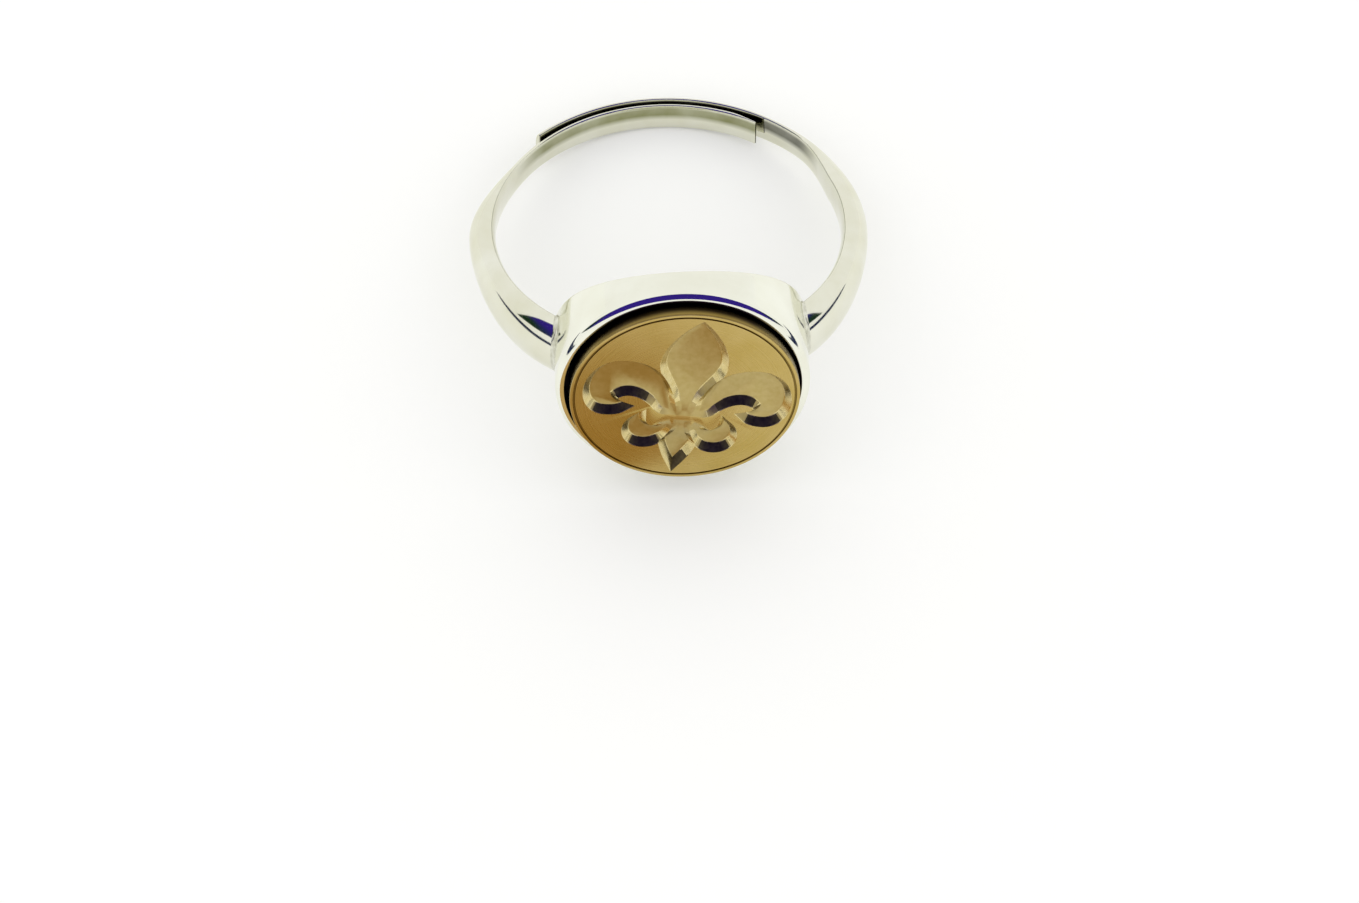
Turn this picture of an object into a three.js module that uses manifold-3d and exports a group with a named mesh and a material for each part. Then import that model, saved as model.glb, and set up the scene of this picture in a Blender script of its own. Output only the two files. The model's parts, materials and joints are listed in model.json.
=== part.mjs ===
// Adjustable signet ring for sealing wax. A round brass die, engraved with a stylised lily, is bonded
// into a silver cup. Two sprung silver arms are soldered to the cup and lap over each other at the
// back. Millimetres. The ring is drawn with the finger axis along Z, the die facing -Y and the lap
// at +Y, and is then tipped onto the two places that it rests on when it is laid down.

import * as THREE from "three";
import { mergeVertices } from "three/addons/utils/BufferGeometryUtils.js";
import Module from "manifold-3d";

const wasm = await Module();
wasm.setup();

// Finger hole and the lap of the two arms at the back.
const holeRadius = 9.1;
const leafThickness = 0.43;
const leafClearance = 0.08;
const innerTipThickness = 0.2;
const innerTipReach = 33; // degrees past the back, on the right
const outerTipReach = 43; // degrees past the back, on the left
const tipTaper = 9; // degrees over which the inner leaf thins to its tip

// Arms, from the hinge line at the sides to the cup.
const sideThickness = 1.4;
const rootThickness = 1.55;
const leafWidth = 1.6;
const sideWidth = 2.1;
const rootWidth = 3.5;
const sideWallShare = 0.3; // share of the thickness below the crown
const edgeBreak = 0.08;
const flexGap = 0.1; // between a shoulder and its leaf, on the flex line
const closeAngle = 4; // degrees that each leaf turns inwards
const openAngle = 6; // degrees that each leaf turns outwards

// Cup that holds the die.
const cupWall = 0.46;
const cupOffset = 0.3; // the head sits this far to the right of the finger axis
const saddleRelief = 0.3; // how much wider than the finger hole the cup's underside is
const rimAboveHole = 2.2;
const recessDepth = 1.2;
const rimRound = 0.36;

// Brass die and the bond under it.
const dieRadius = 5.92;
const dieProud = 0.7;
const dieChamfer = 0.03;
const dieSideClearance = 0.18;
const dieShift = 0.07; // to the right of the cup's centre, as it was glued
const bondThickness = 0.1;
const faceGrooveInset = 0.22; // from the die's edge to the middle of the groove
const faceGrooveWidth = 0.1;
const faceGrooveDepth = 0.06;

// Engraving.
const lilyBorder = 0.92; // from the die's edge to the floor of the lily's side pockets
const engravingDepth = 0.4;
const engravingDraft = 0.4; // how much wider each pocket is at the face than at its floor
const lilyLean = 9; // degrees clockwise
const lilyShift = 0.13; // to the right of the die's centre

// Solder at each arm's root.
const seamThickness = 0.15;
const seamLip = 0.12;
const fitGap = 0.03; // between pieces that touch

const turnSegments = 72;
const arcStep = 4; // degrees between sections of an arm
const degree = Math.PI / 180;

const silver = { color: 0xe9e8df, metalness: 1, roughness: 0.08 };
const brass = { color: 0xb99b4e, metalness: 1, roughness: 0.35 };
const solder = { color: 0xd8d7cc, metalness: 1, roughness: 0.2 };
const epoxy = { color: 0xd9cfa8, metalness: 0, roughness: 0.5 };

// Head: its levels above the finger axis, and the angle at which an arm's inside meets the cup.
const cupRadius = dieRadius + dieSideClearance + cupWall;
const saddleRadius = holeRadius + saddleRelief;
const rimHeight = holeRadius + rimAboveHole;
const recessFloor = rimHeight - recessDepth;
const faceHeight = rimHeight + dieProud;
const rootAngle = Math.asin((cupRadius - cupOffset) / saddleRadius) / degree;

const ring = new THREE.Group();

function addPiece(name, geometry, finish) {
  const piece = new THREE.Mesh(geometry, new THREE.MeshStandardMaterial(finish));
  piece.name = name;
  ring.add(piece);
}

function toSolid(geometry) {
  const bare = geometry.clone();
  bare.deleteAttribute("normal");
  bare.deleteAttribute("uv");
  const welded = mergeVertices(bare, 1e-5);
  const vertProperties = new Float32Array(welded.attributes.position.array);
  const triVerts = new Uint32Array(welded.index.array);
  return new wasm.Manifold(new wasm.Mesh({ numProp: 3, vertProperties, triVerts }));
}

function toGeometry(solid) {
  const mesh = solid.getMesh();
  const geometry = new THREE.BufferGeometry();
  geometry.setAttribute("position", new THREE.BufferAttribute(mesh.vertProperties, 3));
  geometry.setIndex(new THREE.BufferAttribute(mesh.triVerts, 1));
  geometry.computeVertexNormals();
  return geometry;
}

// A turned piece on the head's axis, or shifted from it; each profile point is a radius and a height
// above the finger axis. It has a flat, not a corner, on the side that the ring is laid down on.
function turned(points, shift = 0) {
  const profile = points.map(([radius, height]) => new THREE.Vector2(radius, height));
  const geometry = new THREE.LatheGeometry(profile, turnSegments);
  geometry.rotateY(Math.PI / turnSegments);
  geometry.rotateX(Math.PI);
  geometry.translate(cupOffset + shift, 0, 0);
  return geometry;
}

// A straight cylinder along the finger axis.
function fingerCylinder(radius) {
  const length = 4 * cupRadius;
  return new THREE.CylinderGeometry(radius, radius, length, 2 * turnSegments).rotateX(Math.PI / 2);
}

function smooth(start, end, value) {
  return THREE.MathUtils.smoothstep(value, start, end);
}

// One arm's section at an angle from the head: inner and outer radius, and width along the finger.
// Angles past 180 degrees are past the middle of the back.
const travel = closeAngle + openAngle;
const innerTipAngle = 180 + innerTipReach;
const outerTipAngle = 180 + outerTipReach;
const outerLeafRadius = holeRadius + leafThickness + leafClearance;

// The inner leaf thins before it passes under the outer leaf's end.
const underEnd = 180 - outerTipReach - travel - 4;
// The outer leaf steps out before it meets the inner leaf's tip.
const overTip = 180 - innerTipReach - travel - 4;

function armWidth(angle) {
  const toRoot = (rootWidth - sideWidth) * (1 - smooth(rootAngle, 90, angle));
  const toLeaf = (sideWidth - leafWidth) * smooth(90, 140, angle);
  return sideWidth + toRoot - toLeaf;
}

function armThickness(angle) {
  return rootThickness + (sideThickness - rootThickness) * smooth(rootAngle, 90, angle);
}

function shoulderSection(angle) {
  const inner = saddleRadius + (holeRadius - saddleRadius) * smooth(rootAngle, 80, angle);
  return { inner, outer: inner + armThickness(angle), width: armWidth(angle) };
}

function innerLeafSection(angle) {
  const thin = smooth(90, underEnd, angle);
  const tip = smooth(innerTipAngle - tipTaper, innerTipAngle, angle);
  const thickness = sideThickness + (leafThickness - sideThickness) * thin;
  const tapered = thickness - (leafThickness - innerTipThickness) * tip;
  return { inner: holeRadius, outer: holeRadius + tapered, width: armWidth(angle) };
}

function outerLeafSection(angle) {
  const inner = holeRadius + (outerLeafRadius - holeRadius) * smooth(overTip - 24, overTip, angle);
  const finalOuter = outerLeafRadius + leafThickness;
  const sideOuter = holeRadius + sideThickness;
  const outer = sideOuter + (finalOuter - sideOuter) * smooth(90, overTip + 14, angle);
  return { inner, outer, width: armWidth(angle) };
}

// Outline of a section: flat inside, straight sides and a half-elliptical crown.
function sectionOutline({ inner, outer, width }, swell) {
  const half = width / 2 + swell;
  const low = inner - swell;
  const thickness = outer + swell - low;
  const wall = low + thickness * sideWallShare;
  const lowerEdge = Math.min(edgeBreak, thickness / 4);
  const outline = [[low, -half + lowerEdge], [low, half - lowerEdge], [low + lowerEdge, half]];
  const crownSteps = 10;
  for (let i = 0; i <= crownSteps; i += 1) {
    const turn = (i / crownSteps) * Math.PI;
    outline.push([wall + (outer + swell - wall) * Math.sin(turn), half * Math.cos(turn)]);
  }
  outline.push([low + lowerEdge, -half]);
  return outline;
}

// Lofts an arm's sections from one angle to another. side is 1 on the right and -1 on the left.
function arm(sectionAt, from, to, side, swell = 0) {
  const steps = Math.max(2, Math.ceil((to - from) / arcStep));
  const positions = [];
  let around = 0;
  for (let i = 0; i <= steps; i += 1) {
    const angle = from + ((to - from) * i) / steps;
    const outline = sectionOutline(sectionAt(angle), swell);
    around = outline.length;
    const x = side * Math.sin(angle * degree);
    const y = -Math.cos(angle * degree);
    for (const [radius, along] of outline) {
      positions.push(radius * x, radius * y, along);
    }
  }
  const index = [];
  const addTriangle = (a, b, c) => {
    index.push(...(side > 0 ? [a, c, b] : [a, b, c]));
  };
  for (let i = 0; i < steps; i += 1) {
    for (let j = 0; j < around; j += 1) {
      const a = i * around + j;
      const b = i * around + ((j + 1) % around);
      addTriangle(a, a + around, b);
      addTriangle(b, a + around, b + around);
    }
  }
  const last = steps * around;
  for (let j = 1; j < around - 1; j += 1) {
    addTriangle(0, j, j + 1);
    addTriangle(last, last + j + 1, last + j);
  }
  const geometry = new THREE.BufferGeometry();
  geometry.setAttribute("position", new THREE.Float32BufferAttribute(positions, 3));
  geometry.setIndex(index);
  geometry.computeVertexNormals();
  return geometry;
}

function cupSolid() {
  const rimCentre = [cupRadius - rimRound, rimHeight - rimRound];
  const rimArc = [];
  const rimSteps = 5;
  for (let i = 0; i <= rimSteps; i += 1) {
    const turn = (i / rimSteps) * (Math.PI / 2);
    rimArc.push([rimCentre[0] + rimRound * Math.cos(turn), rimCentre[1] + rimRound * Math.sin(turn)]);
  }
  const recessRadius = dieRadius + dieSideClearance;
  const skirt = holeRadius / 4; // low enough to be cut away by the saddle
  const blank = turned([
    [0, skirt],
    [cupRadius, skirt],
    ...rimArc,
    [recessRadius, rimHeight],
    [recessRadius, recessFloor],
    [0, recessFloor],
  ]);
  return toSolid(blank).subtract(toSolid(fingerCylinder(saddleRadius)));
}

// The lily, in the plane of the face with its stem upright. Every outline is a pocket's floor, and is
// drawn for a lily that reaches drawnReach from its middle.
const drawnReach = 5;
const lilyScale = (dieRadius - lilyBorder) / drawnReach;

function centrePetal() {
  const petal = new THREE.Shape();
  petal.moveTo(0, 4.93);
  petal.bezierCurveTo(0.6, 4.4, 1.35, 3.3, 1.35, 2.3);
  petal.bezierCurveTo(1.35, 1.4, 0.3, 0.5, 0.1, -1);
  petal.lineTo(-0.1, -1);
  petal.bezierCurveTo(-0.3, 0.5, -1.35, 1.4, -1.35, 2.3);
  petal.bezierCurveTo(-1.35, 3.3, -0.6, 4.4, 0, 4.93);
  return petal;
}

function sidePetal() {
  const petal = new THREE.Shape();
  petal.moveTo(0.82, -1);
  petal.bezierCurveTo(1.05, 0.5, 1.9, 1.84, 3.4, 1.84);
  petal.bezierCurveTo(4.5, 1.84, 5, 0.85, 5, 0);
  petal.bezierCurveTo(5, -0.8, 4.6, -1.34, 4.1, -1.34);
  petal.bezierCurveTo(3.8, -1.34, 3.5, -1.28, 3.35, -1.12);
  petal.bezierCurveTo(3.7, -1.02, 3.95, -0.75, 3.97, -0.43);
  petal.bezierCurveTo(3.4, 0.5, 2.1, 0.3, 1.28, -0.85);
  petal.bezierCurveTo(1.2, -0.93, 1.12, -0.98, 1.05, -1);
  return petal;
}

function lowerCurl() {
  const curl = new THREE.Shape();
  curl.moveTo(0.75, -2.1);
  curl.bezierCurveTo(0.95, -2.5, 1.35, -2.85, 1.85, -2.6);
  curl.bezierCurveTo(2.1, -2.48, 2.25, -2.2, 2.27, -1.95);
  curl.bezierCurveTo(2.5, -2.15, 2.62, -2.4, 2.6, -2.75);
  curl.bezierCurveTo(2.55, -3.25, 2.2, -3.5, 1.85, -3.5);
  curl.bezierCurveTo(1.45, -3.5, 1.2, -3.25, 1.07, -3);
  curl.bezierCurveTo(0.95, -2.75, 0.8, -2.5, 0.75, -2.1);
  return curl;
}

function tail() {
  const point = new THREE.Shape();
  point.moveTo(0.1, -2.1);
  point.bezierCurveTo(0.15, -2.6, 0.35, -3.05, 0.57, -3.45);
  point.bezierCurveTo(0.42, -3.95, 0.2, -4.4, 0, -4.75);
  point.bezierCurveTo(-0.2, -4.4, -0.42, -3.95, -0.57, -3.45);
  point.bezierCurveTo(-0.35, -3.05, -0.15, -2.6, -0.1, -2.1);
  return point;
}

// A cutter as deep as the engraving, drafted so that its pocket opens towards the face. Above the face
// it goes straight up, and then tapers again where it cuts nothing.
function pocketCutter(shape, mirrored) {
  const geometry = new THREE.ExtrudeGeometry(shape, {
    depth: engravingDepth,
    curveSegments: 7,
    bevelThickness: engravingDepth,
    bevelSize: engravingDraft,
    bevelSegments: 1,
  });
  if (mirrored) {
    geometry.rotateY(Math.PI);
    geometry.translate(0, 0, engravingDepth);
  }
  geometry.scale(lilyScale, lilyScale, 1);
  geometry.rotateZ(-lilyLean * degree);
  geometry.rotateX(Math.PI / 2);
  geometry.translate(cupOffset + dieShift + lilyShift, -faceHeight, 0);
  return toSolid(geometry);
}

function dieSolid() {
  const underside = recessFloor + bondThickness + 2 * fitGap;
  const grooveInside = dieRadius - faceGrooveInset - faceGrooveWidth / 2;
  const grooveOutside = dieRadius - faceGrooveInset + faceGrooveWidth / 2;
  const blank = turned([
    [0, underside],
    [dieRadius, underside],
    [dieRadius, faceHeight - dieChamfer],
    [dieRadius - dieChamfer, faceHeight],
    [grooveOutside, faceHeight],
    [grooveOutside, faceHeight - faceGrooveDepth],
    [grooveInside, faceHeight - faceGrooveDepth],
    [grooveInside, faceHeight],
    [0, faceHeight],
  ], dieShift);
  let die = toSolid(blank);
  for (const shape of [centrePetal(), tail()]) {
    die = die.subtract(pocketCutter(shape, false));
  }
  for (const shape of [sidePetal(), lowerCurl()]) {
    die = die.subtract(pocketCutter(shape, false));
    die = die.subtract(pocketCutter(shape, true));
  }
  return die;
}

function bondSolid() {
  const bottom = recessFloor + fitGap;
  const top = bottom + bondThickness;
  return turned([[0, bottom], [dieRadius, bottom], [dieRadius, top], [0, top]], dieShift);
}

// A drum on the head's axis, used to trim the arms and their seams to the cup's wall.
function headDrum(radius) {
  return toSolid(turned([[0, 0], [radius, 0], [radius, rimHeight], [0, rimHeight]]));
}

addPiece("bezel_cup", toGeometry(cupSolid()), silver);
addPiece("seal_die", toGeometry(dieSolid()), brass);
addPiece("adhesive_bed", bondSolid(), epoxy);

const flexHalf = (flexGap / 2 / holeRadius) / degree;
const seamInside = headDrum(cupRadius + fitGap);
const seamOutside = headDrum(cupRadius + fitGap + seamThickness);
const shoulderClear = headDrum(cupRadius + 2 * fitGap + seamThickness);
const rootStart = rootAngle - 14;
for (const [name, side] of [["left", -1], ["right", 1]]) {
  const shoulder = toSolid(arm(shoulderSection, rootStart, 90 - flexHalf, side));
  addPiece(`${name}_shoulder`, toGeometry(shoulder.subtract(shoulderClear)), silver);
  const sleeve = toSolid(arm(shoulderSection, rootStart, 70, side, seamLip));
  const seam = sleeve.intersect(seamOutside).subtract(seamInside);
  addPiece(`${name}_solder_seam`, toGeometry(seam), solder);
}
addPiece("left_leaf", arm(innerLeafSection, 90 + flexHalf, innerTipAngle, -1), silver);
addPiece("right_leaf", arm(outerLeafSection, 90 + flexHalf, outerTipAngle, 1), silver);

function lowestPoint(name, tilt) {
  const positions = ring.getObjectByName(name).geometry.attributes.position;
  let lowest = Infinity;
  for (let i = 0; i < positions.count; i += 1) {
    const height = positions.getZ(i) * Math.cos(tilt) - positions.getY(i) * Math.sin(tilt);
    lowest = Math.min(lowest, height);
  }
  return lowest;
}

// Laid down, the ring rests on the cup's lower edge and on the lap. This halves a range of angles
// until it holds the tilt at which both are as low.
let restTilt = 0;
let tiltAbove = 45 * degree;
while (tiltAbove - restTilt > 1e-9) {
  const tilt = (restTilt + tiltAbove) / 2;
  if (lowestPoint("bezel_cup", tilt) < lowestPoint("right_leaf", tilt)) {
    restTilt = tilt;
  } else {
    tiltAbove = tilt;
  }
}
ring.rotation.x = -restTilt;

const laidDown = new THREE.Group();
laidDown.add(ring);
laidDown.updateMatrixWorld(true);
const extent = new THREE.Box3().setFromObject(laidDown, true);
const centre = extent.getCenter(new THREE.Vector3());
ring.position.set(-centre.x, -centre.y, -extent.min.z);

export default laidDown;
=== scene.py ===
"""An adjustable sealing ring laid on a pale table: brass die, silver cup and two lapping silver arms.

Shapes are drawn in the ring's own frame, in millimetres: X to the right, the die facing -Y, the finger
axis along Z. ring_frame turns that frame to where the CAD ring lies.
"""

import json
import math

import bmesh
import bpy
import numpy as np
from mathutils import Matrix, Vector


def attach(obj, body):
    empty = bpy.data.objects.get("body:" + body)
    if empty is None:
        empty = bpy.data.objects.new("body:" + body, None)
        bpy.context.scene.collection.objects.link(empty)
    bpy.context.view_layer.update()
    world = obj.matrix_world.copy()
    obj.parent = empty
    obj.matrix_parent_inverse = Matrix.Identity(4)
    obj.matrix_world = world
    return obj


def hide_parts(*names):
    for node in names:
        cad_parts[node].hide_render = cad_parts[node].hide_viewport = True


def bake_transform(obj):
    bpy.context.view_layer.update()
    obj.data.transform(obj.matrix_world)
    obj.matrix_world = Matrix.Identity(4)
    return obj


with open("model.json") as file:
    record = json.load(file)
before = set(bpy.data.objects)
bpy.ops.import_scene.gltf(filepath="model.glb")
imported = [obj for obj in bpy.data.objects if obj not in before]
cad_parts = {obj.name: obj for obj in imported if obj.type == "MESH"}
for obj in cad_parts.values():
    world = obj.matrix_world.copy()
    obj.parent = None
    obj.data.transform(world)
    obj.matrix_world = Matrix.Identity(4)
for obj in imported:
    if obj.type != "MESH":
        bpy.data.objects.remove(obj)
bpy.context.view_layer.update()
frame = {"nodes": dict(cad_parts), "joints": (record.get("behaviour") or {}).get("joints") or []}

MM = 0.001

# Finger hole and the lap of the two arms at the back, as in the CAD ring.
HOLE_RADIUS = 9.1
LEAF_THICKNESS = 0.43
LEAF_CLEARANCE = 0.08
INNER_TIP_THICKNESS = 0.2
INNER_TIP_REACH = 33
OUTER_TIP_REACH = 43
TIP_TAPER = 9
FLEX_TRAVEL = 10
TIP_MARGIN = 4
STEP_SPAN = 24
THINNING_SPAN = 14

# Arms.
SIDE_THICKNESS = 1.4
ROOT_THICKNESS = 1.55
LEAF_WIDTH = 1.6
SIDE_WIDTH = 2.1
ROOT_WIDTH = 3.5
CROWN_START = 0.3
INSIDE_SQUARENESS = 2.5
TIP_ROUND = 0.07

# Cup.
CUP_RADIUS = 6.56
CUP_OFFSET = 0.3
SADDLE_RADIUS = 9.4
RIM_HEIGHT = 11.3
RIM_ROUND = 0.36
RECESS_DEPTH = 1.2
RECESS_RADIUS = 6.1
EDGE_ROUND = 0.05
SADDLE_ROUND = 0.18

# Die and its engraving.
DIE_SHIFT = 0.07
DIE_RADIUS = 5.92
DIE_FACE = 12.0
DIE_UNDERSIDE = 10.26
DIE_CHAMFER = 0.03
GROOVE_RADIUS = 5.7
GROOVE_WIDTH = 0.1
GROOVE_DEPTH = 0.06
ENGRAVING_DEPTH = 0.4
ENGRAVING_DRAFT = 0.4
LILY_LEAN = 9
LILY_SHIFT = 0.13

# Towards the stem's middle the pockets run out: from where, over what length, and to what share.
RUN_OUT_START = 0.6
RUN_OUT_LENGTH = 1.6
RUN_OUT_SHARE = 0.12

# A pocket's face is a wall, a ledge with a painted dark reflection or a wall with a painted highlight, by
# how its normal leans.
WALL_LEAN = 0.9
LEDGE_UP = 0.55
LEDGE_FROM_STEM = 1.5
DARKENED_TIP = -4.3
HIGHLIGHT_UP = 0.45

# Solder at the arms' roots, thinner on the side towards the finger.
SOLDER_RADIUS = 0.38
SOLDER_SINK = 0.02
THIN_SOLDER_SHARE = 0.35
TOWARDS_FINGER = 0.3

TURN_SEGMENTS = 240
ARM_STATIONS = 160
SECTION_POINTS = 56
SHARP_ANGLE = 32

# The camera, from the ring's own frame.
CAMERA_DISTANCE = 300
CAMERA_LENS = 150.6
CAMERA_AZIMUTH = -2.28
CAMERA_ELEVATION = 44
LOOK_RIGHT = 0.586
LOOK_BELOW = 11.435

# The studio: the table, a warm disc in front of the die, two dark mats and the dim room.
TABLE_RADIUS = 3000
OVER_TABLE = 0.2
WARM_CENTRE = (-5, -22, OVER_TABLE)
WARM_RADIUS = 8
MAT_SIDEWAYS = 100
MAT_FORWARDS = 30
MAT_RADIUS = 58
PATCH_DISTANCE = 420
PATCH_SIDEWAYS = 84
PATCH_UPWARDS = 42
PATCH_SQUARENESS = 0.8

flex = {joint["name"]: joint for joint in frame["joints"]}
finger_axis = Vector(flex["left_arm_flex"]["axis"])
ring_centre = Vector(flex["left_arm_flex"]["pos_m"])
ring_centre.x = 0
rest_tilt = math.atan2(finger_axis.y, finger_axis.z)
ring_frame = Matrix.Translation(ring_centre) @ Matrix.Rotation(-rest_tilt, 4, "X")


def place(x, y, z):
    """A point of the ring's own frame, in millimetres, as a point of the row frame in metres."""
    return ring_frame @ (Vector((x, y, z)) * MM)


# ---------------------------------------------------------------- materials


def colour(text):
    """An sRGB hex value as linear RGBA."""
    parts = [int(text[i : i + 2], 16) / 255 for i in (1, 3, 5)]
    linear = [c / 12.92 if c <= 0.04045 else ((c + 0.055) / 1.055) ** 2.4 for c in parts]
    return (*linear, 1.0)


def add_node(tree, kind, inputs=None, **settings):
    """Adds a node with its settings; each input is a value or the socket that feeds it."""
    node = tree.nodes.new(kind)
    for name, value in settings.items():
        setattr(node, name, value)
    for key, value in (inputs or {}).items():
        if isinstance(value, bpy.types.NodeSocket):
            tree.links.new(value, node.inputs[key])
        else:
            node.inputs[key].default_value = value
    return node


def new_material(name):
    """A material with a Principled shader, and its tree."""
    material = bpy.data.materials.new(name)
    material.use_nodes = True
    tree = material.node_tree
    shader = tree.nodes["Principled BSDF"]
    return material, tree, shader


def head_coordinates(tree):
    """Object coordinates turned and centred so that the head's axis is Y through the origin."""
    place_of = add_node(tree, "ShaderNodeTexCoord")
    centre = place(CUP_OFFSET, 0, 0)
    return add_node(
        tree,
        "ShaderNodeMapping",
        {"Vector": place_of.outputs["Object"], "Location": centre, "Rotation": (-rest_tilt, 0, 0)},
        vector_type="TEXTURE",
    ).outputs["Vector"]


def distance_from_axis(tree, head_point):
    """How far a point is from the head's axis, in millimetres."""
    flat = add_node(tree, "ShaderNodeVectorMath", {0: head_point, 1: (1, 0, 1)}, operation="MULTIPLY")
    length = add_node(tree, "ShaderNodeVectorMath", {0: flat.outputs[0]}, operation="LENGTH")
    return add_node(
        tree, "ShaderNodeMath", {0: length.outputs["Value"], 1: 1 / MM}, operation="MULTIPLY"
    ).outputs[0]


def buff(tree, shader, dull, bright):
    """Gives a silver its mirror: soft buffing waves, hairlines and a faint warm tone."""
    where = add_node(tree, "ShaderNodeTexCoord").outputs["Object"]
    tone = add_node(tree, "ShaderNodeTexNoise", {"Vector": where, "Scale": 1 / (2.5 * MM), "Detail": 3})
    ramp = add_node(tree, "ShaderNodeValToRGB", {"Fac": tone.outputs["Fac"]})
    ramp.color_ramp.elements[0].position = 0.3
    ramp.color_ramp.elements[0].color = colour(dull)
    ramp.color_ramp.elements[1].position = 0.7
    ramp.color_ramp.elements[1].color = colour(bright)
    hairlines = add_node(
        tree, "ShaderNodeTexNoise", {"Vector": where, "Scale": 1 / (0.12 * MM), "Detail": 2}
    )
    gloss = add_node(
        tree, "ShaderNodeMapRange", {"Value": hairlines.outputs["Fac"], "To Min": 0.05, "To Max": 0.12}
    )
    waves = add_node(tree, "ShaderNodeTexNoise", {"Vector": where, "Scale": 1 / (1.1 * MM), "Detail": 2})
    relief = add_node(
        tree, "ShaderNodeBump", {"Height": waves.outputs["Fac"], "Strength": 0.3, "Distance": 0.004 * MM}
    )
    tree.links.new(ramp.outputs["Color"], shader.inputs["Base Color"])
    tree.links.new(gloss.outputs["Result"], shader.inputs["Roughness"])
    tree.links.new(relief.outputs["Normal"], shader.inputs["Normal"])
    shader.inputs["Metallic"].default_value = 1


def buffed_silver():
    """Silver plate, buffed to a mirror after casting."""
    material, tree, shader = new_material("silver plate, buffed")
    buff(tree, shader, "#EAEADA", "#F2F3E6")
    return material


def silver_painted_shade_and_reflection():
    """Silver plate, buffed, painted a little darker than the cup's as painted shade, with a painted olive
    reflection along the leaves' inside and painted shade in the step.
    """
    material, tree, shader = new_material("silver plate, buffed, with painted shade and reflection")
    # The arms' silver is painted a little darker than the cup's: painted shade standing in for a dimmer
    # reflection.
    buff(tree, shader, "#DDDCC6", "#E8E8DA")
    where = add_node(tree, "ShaderNodeTexCoord").outputs["Object"]
    ring_point = add_node(
        tree,
        "ShaderNodeMapping",
        {"Vector": where, "Location": ring_centre, "Rotation": (-rest_tilt, 0, 0)},
        vector_type="TEXTURE",
    ).outputs["Vector"]
    parts = add_node(tree, "ShaderNodeSeparateXYZ", {"Vector": ring_point}).outputs
    flat = add_node(tree, "ShaderNodeVectorMath", {0: ring_point, 1: (1, 1, 0)}, operation="MULTIPLY")
    radius = add_node(tree, "ShaderNodeVectorMath", {0: flat.outputs[0]}, operation="LENGTH")
    masks = {}
    outer_leaf = HOLE_RADIUS + LEAF_THICKNESS + LEAF_CLEARANCE
    rows = (
        ("back", parts["Y"], 4.5, 6.5),
        ("inside", radius.outputs["Value"], outer_leaf + 0.12, outer_leaf + 0.06),
        ("step", radius.outputs["Value"], HOLE_RADIUS + 0.2, outer_leaf),
        ("lift", parts["Z"], -LEAF_WIDTH / 2, LEAF_WIDTH / 2),
    )
    for name, value, low, high in rows:
        mask = add_node(
            tree, "ShaderNodeMapRange", {"Value": value, "From Min": low * MM, "From Max": high * MM}
        )
        masks[name] = mask.outputs["Result"]
    # The painted reflection lies in a stripe across the leaf's width, on its inside at the back.
    stripe = add_node(tree, "ShaderNodeValToRGB", {"Fac": masks["lift"]})
    stops = stripe.color_ramp.elements
    stops[0].color = (0, 0, 0, 1)
    stops[1].color = (0, 0, 0, 1)
    for at, level in ((0.4, 0.05), (0.62, 0.95), (0.86, 0.85), (0.97, 0.0)):
        stops.new(at).color = (level, level, level, 1)
    mottle = add_node(tree, "ShaderNodeTexNoise", {"Vector": where, "Scale": 1 / (1.6 * MM), "Detail": 3})
    uneven = add_node(
        tree, "ShaderNodeMapRange", {"Value": mottle.outputs["Fac"], "To Min": 0.55, "To Max": 1.2}
    )
    amount = uneven.outputs["Result"]
    for factor in (stripe.outputs["Color"], masks["back"], masks["inside"]):
        amount = add_node(tree, "ShaderNodeMath", {0: amount, 1: factor}, operation="MULTIPLY").outputs[0]
    # Painted colours: olive for the dark reflection along the inside, near black for the painted shade in
    # the step.
    painted_dark = add_node(
        tree,
        "ShaderNodeMix",
        {"Factor": masks["step"], 6: colour("#7E8052"), 7: colour("#2C2C1E")},
        data_type="RGBA",
    )
    silver = shader.inputs["Base Color"].links[0].from_socket
    mixed = add_node(
        tree, "ShaderNodeMix", {"Factor": amount, 6: silver, 7: painted_dark.outputs[2]}, data_type="RGBA"
    )
    tree.links.new(mixed.outputs[2], shader.inputs["Base Color"])
    return material


def recess_shade_silver():
    """Silver plate painted matt, patchy and nearly black: painted shade in the recess round the die."""
    material, tree, shader = new_material("silver plate, painted recess shade")
    where = add_node(tree, "ShaderNodeTexCoord").outputs["Object"]
    patches = add_node(tree, "ShaderNodeTexNoise", {"Vector": where, "Scale": 1 / (0.5 * MM), "Detail": 4})
    ramp = add_node(tree, "ShaderNodeValToRGB", {"Fac": patches.outputs["Fac"]})
    ramp.color_ramp.elements[0].position = 0.35
    ramp.color_ramp.elements[0].color = colour("#17141C")
    ramp.color_ramp.elements[1].position = 0.75
    ramp.color_ramp.elements[1].color = colour("#2E2933")
    gloss = add_node(
        tree, "ShaderNodeMapRange", {"Value": patches.outputs["Fac"], "To Min": 0.35, "To Max": 0.6}
    )
    tree.links.new(ramp.outputs["Color"], shader.inputs["Base Color"])
    tree.links.new(gloss.outputs["Result"], shader.inputs["Roughness"])
    shader.inputs["Metallic"].default_value = 1
    return material


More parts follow.
